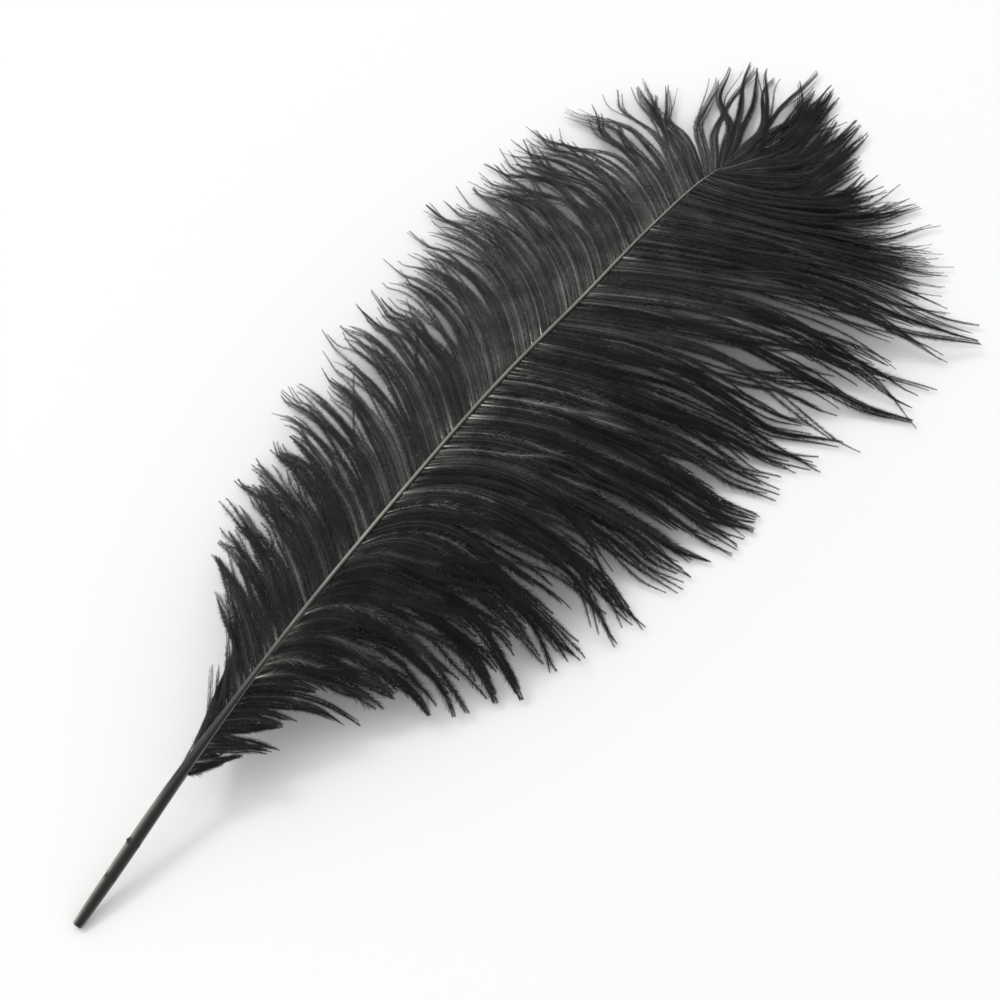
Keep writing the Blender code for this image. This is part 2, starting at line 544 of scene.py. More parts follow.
class BarbuleTree:
    """The Geometry Nodes tree that grows a ramus and its barbules along each centre line.

    TURNS and LIFTS are how far a barbule turns at random from its lean and rises from the vane,
    in radians, and LENGTHS and WIDTHS its random shares of the full size. It is wider on a thick
    ramus: NARROWEST, and WIDTH_GAIN for each metre of the ramus's radius. Its tone is BARB_TONE
    of its barb's, with a random one from OWN_TONES on top.
    """

    INPUTS = (
        ("Barbule Spacing", "NodeSocketFloat"),
        ("Barbule Width", "NodeSocketFloat"),
        ("Lean", "NodeSocketFloat"),
        ("Seed", "NodeSocketInt"),
        ("Finish", "NodeSocketMaterial"),
    )
    RAMUS_SIDES = 3
    TURNS = (-0.2, 0.2)
    LIFTS = (-0.7, 0.2)
    LENGTHS = (0.6, 1.15)
    WIDTHS = (0.6, 1.2)
    WIDTH_GAIN = 0.5 / 0.00015
    NARROWEST = 0.6
    BARB_TONE = 0.6
    OWN_TONES = (0.0, 0.4)

    def __init__(self) -> None:
        """Builds the tree."""
        self.tree = bpy.data.node_groups.new("barb_growth", "GeometryNodeTree")
        face = self.tree.interface
        face.new_socket("Centre Lines", in_out="INPUT", socket_type="NodeSocketGeometry")
        for label, kind in self.INPUTS:
            face.new_socket(label, in_out="INPUT", socket_type=kind)
        face.new_socket("Barbs", in_out="OUTPUT", socket_type="NodeSocketGeometry")
        self.nodes = NodeTree(self.tree)
        self.source = self.nodes.add("NodeGroupInput").outputs
        self._build()

    def _attribute(self, label: str, kind: str = "FLOAT") -> bpy.types.NodeSocket:
        """The value of a named attribute."""
        node = self.nodes.add("GeometryNodeInputNamedAttribute", {"data_type": kind}, Name=label)
        return node.outputs["Attribute"]

    def _random(self, ends: tuple[float, float], salt: int) -> bpy.types.NodeSocket:
        """A random number for each point.

        Args:
            ends: The lowest and highest.
            salt: What is added to the tree's seed.

        Returns:
            The number.
        """
        seed = self.nodes.maths("ADD", self.source["Seed"], salt)
        node = self.nodes.add("FunctionNodeRandomValue", {"data_type": "FLOAT"}, Seed=seed)
        node.inputs[2].default_value, node.inputs[3].default_value = ends
        return node.outputs[1]

    def _ramus(self, curves: bpy.types.NodeSocket) -> bpy.types.NodeSocket:
        """Adds a tapered tube along each centre line.

        Args:
            curves: The centre lines.

        Returns:
            The tubes.
        """
        n = self.nodes
        ring = n.add("GeometryNodeCurvePrimitiveCircle", Resolution=self.RAMUS_SIDES, Radius=1.0)
        tube = n.add(
            "GeometryNodeCurveToMesh",
            Curve=curves,
            Profile_Curve=ring.outputs["Curve"],
            Scale=self._attribute("thickness"),
            Fill_Caps=True,
        )
        smooth = n.add("GeometryNodeSetShadeSmooth", Geometry=tube.outputs["Mesh"])
        return self._stored(smooth.outputs[0], "ramus", 1.0)

    def _stored(
        self, geometry: bpy.types.NodeSocket, label: str, value: object
    ) -> bpy.types.NodeSocket:
        """Stores a number on a geometry's points.

        Args:
            geometry: The geometry.
            label: The number's name.
            value: The number or its socket.

        Returns:
            The geometry with it.
        """
        node = self.nodes.add(
            "GeometryNodeStoreNamedAttribute",
            {"data_type": "FLOAT", "domain": "POINT"},
            Geometry=geometry,
            Name=label,
            Value=value,
        )
        return node.outputs["Geometry"]

    def _blade(self) -> bpy.types.NodeSocket:
        """Adds one barbule.

        Returns:
            A pointed blade of length and width 1, with its root at the origin.
        """
        n = self.nodes
        triangle = n.add(
            "GeometryNodeMeshCircle", {"fill_type": "NGON"}, Vertices=3, Radius=1.0
        )
        blade = n.add(
            "GeometryNodeTransform",
            Geometry=triangle.outputs["Mesh"],
            Translation=(1 / 3, 0.0, 0.0),
            Scale=(2 / 3, 3 ** -0.5, 1.0),
        )
        return blade.outputs["Geometry"]

    def _towards(
        self, first: bpy.types.NodeSocket, second: bpy.types.NodeSocket, angle: bpy.types.NodeSocket
    ) -> bpy.types.NodeSocket:
        """Turns from one direction towards another that is square to it.

        Args:
            first: The direction at an angle of 0.
            second: The direction at a right angle.
            angle: The angle, in radians.

        Returns:
            The direction at that angle.
        """
        n = self.nodes
        return n.vector(
            "ADD",
            n.vector("SCALE", first, n.maths("COSINE", angle)),
            n.vector("SCALE", second, n.maths("SINE", angle)),
        )

    def _turn(self, along: bpy.types.NodeSocket) -> bpy.types.NodeSocket:
        """How each barbule stands, on alternate sides and leaning towards the barb's tip.

        Args:
            along: The barb's direction.

        Returns:
            The turn of a blade that lies along X and faces Z.
        """
        n = self.nodes
        up = self._attribute("vane_up", "FLOAT_VECTOR")
        parity = n.maths("MODULO", n.add("GeometryNodeInputIndex").outputs[0], 2.0)
        side = n.maths("SUBTRACT", n.maths("MULTIPLY", parity, 2.0), 1.0)
        outward = n.vector("SCALE", n.vector("CROSS_PRODUCT", along, up), side)
        outward = self._towards(outward, up, self._random(self.LIFTS, 2))
        lean = n.maths("ADD", self.source["Lean"], self._random(self.TURNS, 1))
        turn = n.add(
            "FunctionNodeAxesToRotation",
            {"primary_axis": "X", "secondary_axis": "Z"},
            Primary_Axis=self._towards(along, outward, lean),
            Secondary_Axis=up,
        )
        return turn.outputs[0]

    def _size(self) -> bpy.types.NodeSocket:
        """Works out the size of each barbule.

        Returns:
            Its length along X and its width along Y.
        """
        n = self.nodes
        length = n.maths("MULTIPLY", self._attribute("fluff"), self._random(self.LENGTHS, 3))
        gain = n.maths("MULTIPLY", self._attribute("thickness"), self.WIDTH_GAIN)
        width = n.maths("MULTIPLY", self.source["Barbule Width"], self._random(self.WIDTHS, 4))
        width = n.maths("MULTIPLY", width, n.maths("ADD", gain, self.NARROWEST))
        return n.add("ShaderNodeCombineXYZ", X=length, Y=width, Z=1.0).outputs[0]

    def _barbules(self, curves: bpy.types.NodeSocket) -> bpy.types.NodeSocket:
        """Adds blades on both sides of each centre line.

        Args:
            curves: The centre lines.

        Returns:
            The blades.
        """
        n = self.nodes
        rows = n.add(
            "GeometryNodeCurveToPoints",
            {"mode": "LENGTH"},
            Curve=curves,
            Length=self.source["Barbule Spacing"],
        ).outputs
        tone = n.maths("MULTIPLY", self._attribute("shade"), self.BARB_TONE)
        tone = n.maths("ADD", tone, self._random(self.OWN_TONES, 5))
        blades = n.add(
            "GeometryNodeInstanceOnPoints",
            Points=self._stored(rows["Points"], "shade", tone),
            Instance=self._blade(),
            Rotation=self._turn(rows["Tangent"]),
            Scale=self._size(),
        )
        real = n.add("GeometryNodeRealizeInstances", Geometry=blades.outputs["Instances"])
        return self._stored(real.outputs["Geometry"], "ramus", 0.0)

    def _build(self) -> None:
        """Joins the rami and barbules, realized and with their finish."""
        n = self.nodes
        curves = n.add("GeometryNodeMeshToCurve", Mesh=self.source["Centre Lines"])
        joined = n.add("GeometryNodeJoinGeometry")
        for geometry in (self._ramus(curves.outputs[0]), self._barbules(curves.outputs[0])):
            self.tree.links.new(geometry, joined.inputs[0])
        real = n.add("GeometryNodeRealizeInstances", Geometry=joined.outputs[0])
        dressed = n.add(
            "GeometryNodeSetMaterial",
            Geometry=real.outputs["Geometry"],
            Material=self.source["Finish"],
        )
        n.add("NodeGroupOutput", Barbs=dressed.outputs[0])

    def grow(
        self, guides: bpy.types.Object, growth: Growth, finish: bpy.types.Material
    ) -> bpy.types.Object:
        """Grows the barbs of a group as a plain mesh.

        Args:
            guides: The centre lines, which are used up.
            growth: How the barbules grow.
            finish: Their material.

        Returns:
            The barbs, in an object of the same name.
        """
        name = guides.name
        modifier = guides.modifiers.new("Growth", "NODES")
        modifier.node_group = self.tree
        values = {
            "Barbule Spacing": growth.spacing,
            "Barbule Width": growth.width,
            "Lean": float(np.radians(growth.lean)),
            "Seed": growth.seed,
            "Finish": finish,
        }
        for item in self.tree.interface.items_tree:
            if item.name in values:
                modifier[item.identifier] = values[item.name]
        graph = bpy.context.evaluated_depsgraph_get()
        mesh = bpy.data.meshes.new_from_object(guides.evaluated_get(graph))
        wires = guides.data
        guides.modifiers.clear()
        guides.data = mesh
        bpy.data.meshes.remove(wires)
        mesh.name = name
        return guides


@dataclass(frozen=True)
class Habit:
    """How a group's barbs gather, stray and are painted paler, with lengths in metres.

    Args:
        spacing: The distance from one root to the next, at the group's first and last parting.
        strand_width: The mean width at the roots of the strands that gather inside a lock.
        gather: The share of a barb's length where strands begin to draw together.
        strand_pull: How far barbs draw in to their strand at the tip, from 0 to 1.
        lock_pull: How far strands draw in to the middle of their lock at the tip.
        lock_notch: How much shorter barbs are at the sides of a lock.
        uneven: The spread of the strands' lengths, as a share.
        turn: The spread of the way strands turn aside, as a share of their length.
        wave: The height of the sideways curves of a strand.
        fray: The height of the sideways curves of each barb within its strand.
        loft: How far locks rise off or sink into the vane at their tips.
        straight: How far barbs are drawn towards a straight line to their tip.
        strays: The share of barbs that leave their strand.
        fluff: The length of the barbules in the middle of a barb.
        root_fluff: Their length at its root.
        bare: The share of a barb at its tip that thins to a hair.
        ramus: The radius of a ramus at its root.
        pale: How much paler the barbs are near the shaft, from 0 to 1: partly dye rubbed thin and
            partly a painted sheen.
        pale_length: How far from the shaft the paling falls to about a third.
        glints: The share of barbs with a painted glint along most of the ramus.
        root_glints: The share of barbs with a bright painted glint at the root.
    """

    spacing: tuple = (0.00075, 0.00075)
    strand_width: float = 0.0030
    gather: float = 0.30
    strand_pull: float = 0.75
    lock_pull: float = 0.35
    lock_notch: float = 0.10
    uneven: float = 0.05
    turn: float = 0.05
    wave: float = 0.0018
    fray: float = 0.0007
    loft: float = 0.002
    straight: float = 0.0
    strays: float = 0.05
    fluff: float = 0.0024
    root_fluff: float = 0.0018
    bare: float = 0.08
    ramus: float = 0.00015
    pale: float = 0.5
    pale_length: float = 0.035
    glints: float = 0.08
    root_glints: float = 0.25


@dataclass(frozen=True)
class Slit:
    """A light slit between barbs, part way along them.

    Args:
        at: Its place along the run.
        start: Where it opens, as a share of the barbs' length.
        end: Where it closes. Past 1 it stays open at the tips.
        gap: Half its width, in metres.
    """

    at: float
    start: float
    end: float
    gap: float


@dataclass
class Layout:
    """Where a group's barbs grow, and the random numbers that vary them.

    Args:
        rng: The source of the random numbers.
        roots: Places of the roots along the run.
        strands: Places of the middles of their strands.
        locks: Places of the middles of their locks.
        lengths: The barbs' full lengths, as a column.
        shares: The share of a barb's length at each point of its centre line.
    """

    rng: np.random.Generator
    roots: np.ndarray
    strands: np.ndarray
    locks: np.ndarray
    lengths: np.ndarray
    shares: np.ndarray

    def spread(self, mean: float, spread: float) -> np.ndarray:
        """A random number for each barb round a mean, as a column."""
        return self.rng.normal(mean, spread, len(self.roots))[:, None]

    def evenly(self, low: float, high: float) -> np.ndarray:
        """A random number for each barb between two, as a column."""
        return self.rng.uniform(low, high, len(self.roots))[:, None]

    def for_some(self, share: float, low: float, high: float) -> np.ndarray:
        """A random number for a share of the barbs and 0 for the rest, as a column."""
        chosen = self.evenly(0, 1) < share
        return chosen * self.evenly(low, high)

    def per_bunch(self, bunches: np.ndarray, spread: float) -> np.ndarray:
        """A random number for each bunch, given to all its barbs as a column."""
        _, which = np.unique(bunches, return_inverse=True)
        return self.rng.normal(0, spread, which.max() + 1)[which][:, None]

    def rise(self, start: float, end: float) -> np.ndarray:
        """Eases from 0 to 1 over a stretch of a barb."""
        return rise(self.shares, start, end)

    def bend(self, start: float, power: float) -> np.ndarray:
        """A bend that starts part way along a barb."""
        return np.maximum(self.shares - start, 0) ** power


@dataclass
class BarbGroup:
    """The barbs between two partings, which replace one packed shell.

    The names in capitals are what all groups share. Two numbers are the ends of a random range, or
    of the stretch of a barb where something comes in, as shares of its length. A mean comes with
    its spread, and the start of a bend with its power.

    Args:
        name: The node that they replace, and the piece's name with _barbs after it.
        field: The run of barbs that they belong to.
        partings: Where their locks part, along the run.
        habit: How they gather and stray.
        growth: How their barbules grow.
        slits: The light slits between them.
        run: How many metres of shaft one unit of the run stands for.
    """

    name: str
    field: BarbField
    partings: tuple
    habit: Habit
    growth: Growth
    slits: tuple = ()
    run: float = 1.0

    FEWEST = 3
    ROOT_JITTER = 0.25
    STRAND_SIZES = (0.4, 1.6)
    NOTCH_POWER = 1.5
    SHORTENING = 1.4
    SHORTEST, LONGEST = 0.4, 1.04

    STRAND_END = 0.9
    LOCK_STRETCH, STRAIGHT_STRETCH = (0.4, 1.05), (0.1, 0.6)
    NEIGHBOUR = 0.0005
    STEADYING = 0.25

    FULL_CURVES = 0.09
    CURVE_STRETCH = (0.05, 1.0)
    HEIGHT_SPREAD, PHASE_SPREAD = 0.4, 3.0
    SWING, RIPPLE, RIPPLE_SHARE = (5.5, 1.2), (11.0, 2.0), 0.35
    TURN_BEND, STRAY_BEND, STRAY_TURN = (0.3, 1.3), (0.45, 1.2), 0.16
    SLIT_REACH = 3.5

    LOCK_LIFT, STRAND_LIFT, OWN_LIFT = (0.15, 1.0), (0.2, 1.2), 0.0003
    LANDING = 0.002

    ROOT_STRETCH = (0.0, 0.18)
    FLUFF_TAPER, TIP_THINNING, FLUFF_SPREAD = 0.15, 0.7, 0.12
    RAMUS_TAPER, RAMUS_POWER, RAMUS_SPREAD, THINNEST = 0.8, 0.8, 0.1, 0.000025

    # Ranges of the paling near the shaft, partly a painted sheen, and of the painted glints along
    # rami and at roots; then where the rami glints fade and how far the root glints reach.
    NEAR_WEAR, LONG_WEAR, ROOT_WEAR = (0.3, 1.0), (0.4, 1.0), (1.0, 2.2)
    WEAR_STRETCH, ROOT_LENGTH = (0.45, 0.8), 0.0045

    def _layout(self) -> Layout:
        """Places the barbs along the run.

        Returns:
            Where they grow.
        """
        rng = np.random.default_rng(self.growth.seed)
        rows = []
        ends = (self.partings[0], self.partings[-1])
        for low, high in zip(self.partings, self.partings[1:]):
            width = (high - low) * self.run
            spacing = np.interp((low + high) / 2, ends, self.habit.spacing)
            count = max(self.FEWEST, round(width / spacing))
            jitter = rng.uniform(-self.ROOT_JITTER, self.ROOT_JITTER, count)
            shares = (np.arange(count) + 0.5 + jitter) / count
            bunches = max(1, round(width / self.habit.strand_width))
            sizes = rng.uniform(*self.STRAND_SIZES, bunches)
            edges = np.concatenate([[0.0], np.cumsum(sizes) / sizes.sum()])
            bunch = np.clip(np.searchsorted(edges, shares) - 1, 0, bunches - 1)
            middles = (edges[:-1] + edges[1:]) / 2
            roots = low + (high - low) * shares
            strands = low + (high - low) * middles[bunch]
            rows.append((roots, strands, np.full(count, (low + high) / 2)))
        roots, strands, locks = (np.concatenate(row) for row in zip(*rows))
        shares = np.linspace(0, 1, self.field.steps + 1)
        return Layout(rng, roots, strands, locks, self.field.lengths(roots), shares)

    def _reach(self, barbs: Layout) -> np.ndarray:
        """How far each barb reaches: less at the sides of its lock.

        Args:
            barbs: Where they grow.

        Returns:
            The share of its full length that each barb has.
        """
        habit = self.habit
        edges = np.asarray(self.partings)
        lock = np.clip(np.searchsorted(edges, barbs.strands) - 1, 0, len(edges) - 2)
        within = (barbs.strands - edges[lock]) / (edges[lock + 1] - edges[lock])
        reach = 1 - habit.lock_notch * np.abs(2 * within - 1) ** self.NOTCH_POWER
        reach = reach * (1 + barbs.per_bunch(barbs.strands, habit.uneven)[:, 0])
        shorter = np.abs(barbs.spread(0, self.SHORTENING * habit.uneven)[:, 0])
        return np.clip(reach * (1 - shorter), self.SHORTEST, self.LONGEST)

    def _gathered(self, barbs: Layout, reach: np.ndarray) -> np.ndarray:
        """The barbs' paths, drawn in to their strands and locks.

        Args:
            barbs: Where they grow.
            reach: The share of its full length that each barb has.

        Returns:
            Points by barb and step.
        """
        habit = self.habit
        own, strand, lock = (
            self.field.paths(places, reach) for places in (barbs.roots, barbs.strands, barbs.locks)
        )
        strand_share, lock_share, straight_share = (
            barbs.rise(*stretch)[None, :, None]
            for stretch in (
                (habit.gather, self.STRAND_END), self.LOCK_STRETCH, self.STRAIGHT_STRETCH
            )
        )
        points = own + habit.strand_pull * strand_share * (strand - own)
        points = points + habit.lock_pull * lock_share * (lock - strand)
        chord = points[:, :1] + (points[:, -1:] - points[:, :1]) * barbs.shares[None, :, None]
        return points + habit.straight * (chord - points) * straight_share

    def _axes(self, barbs: Layout, reach: np.ndarray) -> tuple[np.ndarray, np.ndarray]:
        """The vane's own directions, steadied by their mean along each barb.

        Args:
            barbs: Where they grow.
            reach: The share of its full length that each barb has.

        Returns:
            The vane's upward direction along each barb, and the way towards the next barb.
        """
        own = self.field.paths(barbs.roots, reach)
        beside = self.field.paths(barbs.roots + self.NEIGHBOUR / self.run, reach) - own
        along = unit(np.gradient(own, axis=1))
        face = np.cross(beside, along)
        face *= np.sign(face[..., 2:] + TINY)
        face += self.STEADYING * face.mean(axis=1, keepdims=True)
        up = unit(face - (face * along).sum(axis=-1, keepdims=True) * along)
        aside = unit(np.cross(along, up))
        aside *= np.sign((aside * beside).sum(axis=(1, 2), keepdims=True))
        return up, aside

    def _curves(self, barbs: Layout, bunches: np.ndarray, height: float) -> np.ndarray:
        """Sideways curves that grow towards the tip.

        Args:
            barbs: Where they grow.
            bunches: What moves together.
            height: How far they swing at the tip.

        Returns:
            One distance for each barb and share.
        """
        size = height * (1 + self.HEIGHT_SPREAD * barbs.per_bunch(bunches, 1.0))
        slow, fast = (
            mean + barbs.per_bunch(bunches, spread) for mean, spread in (self.SWING, self.RIPPLE)
        )
        first, second = (barbs.per_bunch(bunches, self.PHASE_SPREAD) for _ in range(2))
        swing = np.sin(slow * barbs.shares + first) - np.sin(first)
        ripple = np.sin(fast * barbs.shares + second) - np.sin(second)
        return size * (swing + self.RIPPLE_SHARE * ripple) * barbs.rise(*self.CURVE_STRETCH)

    def _slit_push(self, barbs: Layout) -> np.ndarray:
        """How far slits push the barbs aside.

        Args:
            barbs: Where they grow.

        Returns:
            One distance for each barb and share.
        """
        push = np.zeros((len(barbs.roots), len(barbs.shares)))
        for slit in self.slits:
            aside = barbs.roots - slit.at
            near = np.exp(-np.abs(aside) * self.run / (self.SLIT_REACH * slit.gap))
            middle = (slit.start + slit.end) / 2
            opening = barbs.rise(slit.start, middle) * (1 - barbs.rise(middle, slit.end))
            push += np.sign(aside)[:, None] * near[:, None] * slit.gap * opening
        return push

    def _sideways(self, barbs: Layout) -> np.ndarray:
        """How far each barb swings aside.

        Args:
            barbs: Where they grow.

        Returns:
            One distance for each barb and share.
        """
        habit = self.habit
        small = np.minimum(barbs.lengths / self.FULL_CURVES, 1)
        turn = barbs.per_bunch(barbs.strands, habit.turn)
        sideways = turn * barbs.lengths * barbs.bend(*self.TURN_BEND)
        sideways = sideways + small * self._curves(barbs, barbs.strands, habit.wave)
        sideways = sideways + small * self._curves(barbs, barbs.roots, habit.fray)
        strays = barbs.evenly(0, 1) < habit.strays
        astray = barbs.spread(0, self.STRAY_TURN) * strays
        sideways = sideways + astray * barbs.lengths * barbs.bend(*self.STRAY_BEND)
        return sideways + self._slit_push(barbs)

    def _lift(self, barbs: Layout) -> np.ndarray:
        """How far each barb rises off the vane.

        Args:
            barbs: Where they grow.

        Returns:
            One distance for each barb and share.
        """
        loft = self.habit.loft
        lift = barbs.per_bunch(barbs.locks, loft) * barbs.rise(*self.LOCK_LIFT)
        lift = lift + barbs.per_bunch(barbs.strands, loft) * barbs.rise(*self.STRAND_LIFT)
        return lift + barbs.spread(0, self.OWN_LIFT)

    def _above_floor(self, heights: np.ndarray) -> np.ndarray:
        """Lets barbs down onto the floor with a soft landing.

        Args:
            heights: The heights of their points.

        Returns:
            The heights, all above the floor.
        """
        over = heights - FLOOR_CLEARANCE
        eased = self.LANDING * np.exp(np.minimum(over / self.LANDING - 1, 0))
        return FLOOR_CLEARANCE + np.where(over > self.LANDING, over, eased)

    def _fluff(self, barbs: Layout) -> np.ndarray:
        """How long the barbules are: shorter at a barb's root and thinned to a hair at its tip.

        Args:
            barbs: Where they grow.

        Returns:
            One length for each barb and share.
        """
        habit = self.habit
        ends = 1 - self.TIP_THINNING * barbs.rise(1 - 2 * habit.bare, 1.0)
        more = (habit.fluff - habit.root_fluff) * barbs.rise(*self.ROOT_STRETCH)
        taper = 1 - self.FLUFF_TAPER * barbs.shares
        return (habit.root_fluff + more) * taper * ends * barbs.spread(1, self.FLUFF_SPREAD)

    def _thickness(self, barbs: Layout) -> np.ndarray:
        """How thick each ramus is, tapering to its tip.

        Args:
            barbs: Where they grow.

        Returns:
            One radius for each barb and share.
        """
        taper = 1 - self.RAMUS_TAPER * barbs.shares**self.RAMUS_POWER
        thickness = self.habit.ramus * taper * barbs.spread(1, self.RAMUS_SPREAD)
        return np.maximum(thickness, self.THINNEST)

    def _pale(self, barbs: Layout) -> np.ndarray:
        """How much paler each point is: dye rubbed thin with a painted sheen near the shaft,
        painted glints along some rami and brighter ones at some roots.

        Args:
            barbs: Where they grow.

        Returns:
            One number for each barb and share, above 1 where a root glint is painted.
        """
        habit = self.habit
        inward = barbs.shares * barbs.lengths
        # Paler near the shaft: partly dye rubbed thin, partly a painted sheen.
        near = barbs.evenly(*self.NEAR_WEAR) * np.exp(-inward / habit.pale_length)
        # Painted glints along some rami, fading before the tip.
        worn = barbs.for_some(habit.glints, *self.LONG_WEAR)
        pale = np.maximum(habit.pale * near, worn * (1 - barbs.rise(*self.WEAR_STRETCH)))
        # Bright painted glints at some roots.
        bare = barbs.for_some(habit.root_glints, *self.ROOT_WEAR)
        return pale + bare * np.exp(-((inward / self.ROOT_LENGTH) ** 2))

    def guides(self) -> Guides:
        """Works out the centre lines of all the barbs.

        Returns:
            The centre lines, with what grows along them.
        """
        barbs = self._layout()
        reach = self._reach(barbs)
        points = self._gathered(barbs, reach)
        up, aside = self._axes(barbs, reach)
        points = points + aside * self._sideways(barbs)[..., None]
        points = points + up * self._lift(barbs)[..., None]
        points[..., 2] = self._above_floor(points[..., 2])
        fluff, thickness, pale = self._fluff(barbs), self._thickness(barbs), self._pale(barbs)
        shade = np.repeat(barbs.evenly(0, 1), len(barbs.shares), axis=1)
        return Guides(points, up, thickness, fluff, pale, shade)

    def build(self, tree: BarbuleTree, finish: bpy.types.Material) -> bpy.types.Object:
        """Grows the barbs and puts them in place of their shell.

        Args:
            tree: The Geometry Nodes tree that grows them.
            finish: Their material.

        Returns:
            The finished piece.
        """
        piece = tree.grow(self.guides().as_object(f"{self.name}_barbs"), self.growth, finish)
        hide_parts(self.name)
        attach(piece, BODY)
        LOG.info("%s: %d faces", piece.name, len(piece.data.polygons))
        return piece


@dataclass(frozen=True)
class Mark:
    """A small swelling or dent in the quill.

    Args:
        station: Its place along the shaft.
        length: Half its length along the shaft.
        turn: Its place round the shaft, in degrees up from the right.
        width: Half its width round the shaft, in degrees. 360 goes all round.
        height: How far it stands out, in metres. A dent's is below 0.
    """

    station: float
    length: float
    turn: float
    width: float
    height: float


QUILL_MARKS = (
    Mark(station=0.0324, length=0.0005, turn=150, width=360, height=0.00010),
    Mark(station=0.0322, length=0.0004, turn=148, width=8, height=0.00045),
    Mark(station=0.0190, length=0.0006, turn=152, width=18, height=-0.00040),
)


@dataclass(frozen=True)
class Band:
    """A soft band round the shaft.

    Args:
        turn: Its middle, in degrees up from the right.
        width: Half its width in degrees.
        strength: How strong it is in the middle.
    """

    turn: float
    width: float
    strength: float = 1.0

    def at(self, angles: np.ndarray) -> np.ndarray:
        """Its strength at these angles, which are in radians."""
        aside = (np.degrees(angles) - self.turn + 180) % 360 - 180
        return self.strength * np.exp(-((aside / self.width) ** 2))


@dataclass(frozen=True)
class Shaft:
    """The quill and rachis, lofted along the shaft's line.

    MOUTH and RIM give the station and size of each ring of the hollow end. The bands named below
    are painted pale: the ridge is partly dye rubbed thin and partly a painted highlight, and the
    foot and the quill's sides carry painted highlights. The pairs say over which stations each band
    comes in or ends.

    Args:
        line: The centre line and its cross-sections.
        marks: The marks on the quill.
        sides: How many sides a ring has.
        quill_step: The distance between rings on the quill.
        rachis_step: The distance between rings from the first barbs on.
    """

    line: ShaftLine
    marks: tuple = QUILL_MARKS
    sides: int = 48
    quill_step: float = 0.00035
    rachis_step: float = 0.0024

    MOUTH = ((0.0030, 0.30), (0.0010, 0.42), (0.0002, 0.50), (0.0000, 0.66), (0.0001, 0.82))
    RIM = ((0.0004, 0.94), (0.0009, 1.00))
    QUILL_ENDS, RACHIS_START = (0.0014, 0.045), 0.046
    GROOVE_POWER = 8

    # The ridge is paler: partly dye rubbed thin, partly a painted highlight on the side towards the
    # light.
    RIDGE, RIDGE_START = Band(105, 30), (0.070, 0.165)
    RIDGE_WEAR, BRIGHTER, BRIGHTEST, BRIGHT_LENGTH = 0.75, 0.35, 0.165, 0.025
    # The foot is a painted highlight along the lower right flank of the rachis.
    FOOT, FOOT_START, FOOT_END = Band(16, 10, 0.55), (0.050, 0.066), (0.10, 0.15)
    # Painted highlights along the quill's left and right sides and its upper left flank.
    LEFT_EDGE, RIGHT_EDGE, UPPER_EDGE = Band(137, 26, 1.7), Band(2, 18, 0.4), Band(150, 18, 0.6)
    SLIMMING, SLIM_END = (0.044, 0.058), (0.10, 0.14)
    STAIN_LENGTH = 0.001
    INNER_SIZES = (0.45, 0.9)

    def _stations(self) -> tuple[np.ndarray, np.ndarray]:
        """Each ring's station and size: up out of the hollow end, over its rim and along.

        Returns:
            The stations and the sizes.
        """
        end = self.line.sections[-1].station
        quill = np.arange(*self.QUILL_ENDS, self.quill_step)
        rachis = np.append(np.arange(self.RACHIS_START, end, self.rachis_step), end)
        lip = np.array(self.MOUTH + self.RIM)
        stations = np.concatenate([lip[:, 0], quill, rachis])
        return stations, np.concatenate([lip[:, 1], np.ones(len(quill) + len(rachis))])

    def _outline(self, rows: np.ndarray, angles: np.ndarray) -> tuple[np.ndarray, np.ndarray]:
        """Each ring's corners, from the centre line.

        Args:
            rows: The width, depth, squareness and groove of each ring.
            angles: Each corner's place round the ring.

        Returns:
            The distances across and up.
        """
        width, depth, squareness, groove = (rows[:, i : i + 1] for i in range(4))
        cosine, sine = np.cos(angles)[None, :], np.sin(angles)[None, :]
        across = width / 2 * np.sign(cosine) * np.abs(cosine) ** (2 / squareness)
        up = depth / 2 * np.sign(sine) * np.abs(sine) ** (2 / squareness)
        return across, up * (1 - groove * np.maximum(0, -sine) ** self.GROOVE_POWER)

    def _swelling(self, stations: np.ndarray, angles: np.ndarray) -> np.ndarray:
        """How far the marks push each corner of each ring outwards.

        Args:
            stations: Each ring's station.
            angles: Each corner's place round the ring.

        Returns:
            One distance for each ring and corner.
        """
        push = np.zeros((len(stations), len(angles)))
        for mark in self.marks:
            along = np.exp(-(((stations - mark.station) / mark.length) ** 2))
            aside = np.degrees(angles) - mark.turn
            push += mark.height * np.outer(along, np.exp(-((aside / mark.width) ** 2)))
        return push

    def build(self, finish: bpy.types.Material) -> bpy.types.Object:
        """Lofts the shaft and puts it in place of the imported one.

        Args:
            finish: Its material.

        Returns:
            The finished piece.
        """
        stations, sizes = self._stations()
        angles = 2 * np.pi * np.arange(self.sides) / self.sides
        across, up = self._outline(self.line.section_rows(stations), angles)
        push = self._swelling(stations, angles)
        across = across * sizes[:, None] + push * np.cos(angles)
        up = up * sizes[:, None] + push * np.sin(angles)
        along = self.line.along(stations)
        upward = np.column_stack([np.zeros(len(stations)), -along[:, 2], along[:, 1]])
        points = self.line.points(stations)[:, None, :] + upward[:, None, :] * up[..., None]
        points[..., 0] += across
        mesh = bpy.data.meshes.new("shaft_keratin")
        mesh.from_pydata(points.reshape(-1, 3).tolist(), [], self._faces(len(stations)))
        self._store(mesh, stations, sizes, angles)
        mesh.polygons.foreach_set("use_smooth", [True] * len(mesh.polygons))
        mesh.materials.append(finish)
        mesh.update()
        piece = into_scene("shaft_keratin", mesh)
        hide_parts("shaft")
        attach(piece, BODY)
        LOG.info("%s: %d faces", piece.name, len(mesh.polygons))
        return piece

